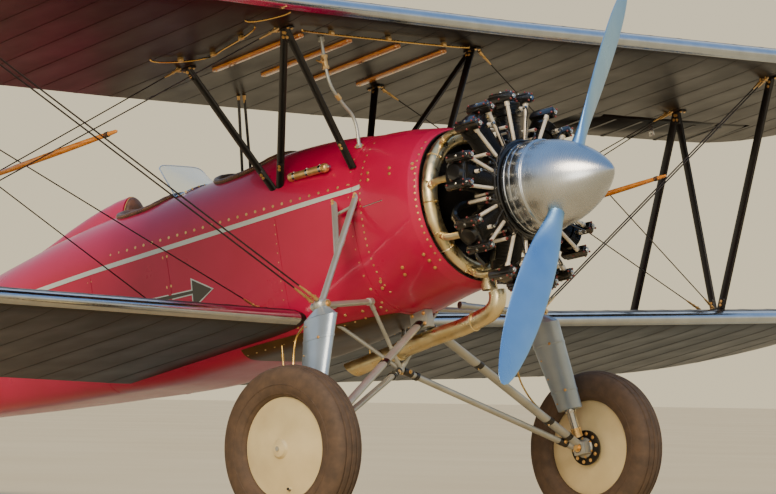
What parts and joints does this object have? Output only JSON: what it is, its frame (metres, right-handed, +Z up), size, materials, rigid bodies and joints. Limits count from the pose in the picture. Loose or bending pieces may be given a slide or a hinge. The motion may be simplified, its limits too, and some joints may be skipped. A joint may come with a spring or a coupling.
{
  "type": "biplane",
  "caption": "open two-seat biplane with a radial engine, outrigger landing gear and a tail wheel, standing parked tail-down",
  "frame": {"origin": "middle of the aircraft's bounding box in plan, at ground level, standing on its wheels and tail wheel", "axes": "+X forward over the nose, +Y to port along the span, +Z up"},
  "size_m": [7.5874, 11.576, 3.1021],
  "materials": {
    "red_paint": "glossy crimson paint",
    "black_dope": "glossy black dope",
    "silver_steel": "aluminium-painted steel tube",
    "polished_metal": "polished",
    "engine_iron": "satin black enamel on cast iron",
    "heated_steel": "heat-stained exhaust steel and brass",
    "tyre_rubber": "worn black rubber",
    "cream_disc": "cream enamel",
    "brown_leather": "worn brown leather",
    "varnished_wood": "clear varnished spruce",
    "clear_screen": "clear acrylic sheet"
  },
  "bodies": {
    "airframe": {"front_fuselage": "red_paint", "rear_fuselage": "red_paint", "nose_cowl": "red_paint", "engine": "engine_iron", "exhaust_collector": "heated_steel", "tailpipe": "heated_steel", "upper_wing": "black_dope", "lower_wing_left": "black_dope", "lower_wing_right": "black_dope", "cabane_left": "black_dope", "interplane_left": "black_dope", "cabane_right": "black_dope", "interplane_right": "black_dope", "outrigger_left": "silver_steel", "shock_strut_left": "silver_steel", "outrigger_right": "silver_steel", "shock_strut_right": "silver_steel", "belly_bracket": "silver_steel", "belly_pyramid": "silver_steel", "front_leg_left": "silver_steel", "rear_leg_left": "silver_steel", "front_leg_right": "silver_steel", "rear_leg_right": "silver_steel", "flying_wire_front_left": "silver_steel", "flying_wire_rear_left": "silver_steel", "landing_wire_front_left": "silver_steel", "landing_wire_rear_left": "silver_steel", "spreader_stick_left": "varnished_wood", "flying_wire_front_right": "silver_steel", "flying_wire_rear_right": "silver_steel", "landing_wire_front_right": "silver_steel", "landing_wire_rear_right": "silver_steel", "spreader_stick_right": "varnished_wood", "fuel_pipe": "silver_steel", "front_coaming": "brown_leather", "rear_coaming": "brown_leather", "windscreen": "clear_screen", "headrest_pad": "brown_leather", "front_seat": "brown_leather", "rear_seat": "brown_leather", "side_cylinder": "heated_steel", "fin": "red_paint", "stabiliser_left": "black_dope", "stabiliser_right": "black_dope", "tail_brace_left": "silver_steel", "tail_brace_right": "silver_steel", "tailwheel_leg": "silver_steel"},
    "propeller": {"spinner": "polished_metal", "blade_upper": "polished_metal", "blade_lower": "polished_metal"},
    "main_wheel_left": {"tyre_left": "tyre_rubber", "wheel_disc_left": "cream_disc"},
    "main_wheel_right": {"tyre_right": "tyre_rubber", "wheel_disc_right": "cream_disc"},
    "aileron_left": {"aileron_left": "black_dope"},
    "aileron_right": {"aileron_right": "black_dope"},
    "rudder": {"rudder": "black_dope"},
    "elevators": {"elevators": "black_dope"},
    "tailwheel_fork": {"tailwheel_fork": "silver_steel"},
    "tailwheel": {"tailwheel": "tyre_rubber"}
  },
  "joints": [
    {"name": "propeller_spin", "type": "hinge", "parent": "airframe", "child": "propeller", "pos_m": [3.10961, 0, 1.90152], "axis": [0.9857, 0, 0.1685], "continuous": true},
    {"name": "main_wheel_left_spin", "type": "hinge", "parent": "airframe", "child": "main_wheel_left", "pos_m": [2.64481, 1.325, 0.457], "axis": [0, 1, 0], "continuous": true},
    {"name": "main_wheel_right_spin", "type": "hinge", "parent": "airframe", "child": "main_wheel_right", "pos_m": [2.64481, -1.325, 0.457], "axis": [0, 1, 0], "continuous": true},
    {"name": "tailwheel_swivel", "type": "hinge", "parent": "airframe", "child": "tailwheel_fork", "pos_m": [-2.91012, 0, 0.25804], "axis": [0, 0, 1], "range_deg": [-35, 35]},
    {"name": "tailwheel_spin", "type": "hinge", "parent": "tailwheel_fork", "child": "tailwheel", "pos_m": [-2.98812, 0, 0.12004], "axis": [0, 1, 0], "continuous": true},
    {"name": "rudder_hinge", "type": "hinge", "parent": "airframe", "child": "rudder", "pos_m": [-3.24538, 0, 0.80764], "axis": [-0.2198, 0, 0.9755], "range_deg": [-25, 25]},
    {"name": "elevator_hinge", "type": "hinge", "parent": "airframe", "child": "elevators", "pos_m": [-3.14299, 0, 0.6626], "axis": [0, 1, 0], "range_deg": [-22, 25]},
    {"name": "aileron_left_hinge", "type": "hinge", "parent": "airframe", "child": "aileron_left", "pos_m": [1.08239, 3.94, 2.65487], "axis": [-0.0026, 0.9999, 0.0114], "range_deg": [-20, 20]},
    {"name": "aileron_right_hinge", "type": "hinge", "parent": "airframe", "child": "aileron_right", "pos_m": [1.08239, -3.94, 2.65487], "axis": [0.0026, 0.9999, -0.0114], "range_deg": [-20, 20]}
  ],
  "couplings": [
    {"joint": "aileron_right_hinge", "follows": "aileron_left_hinge", "ratio": -1}
  ]
}
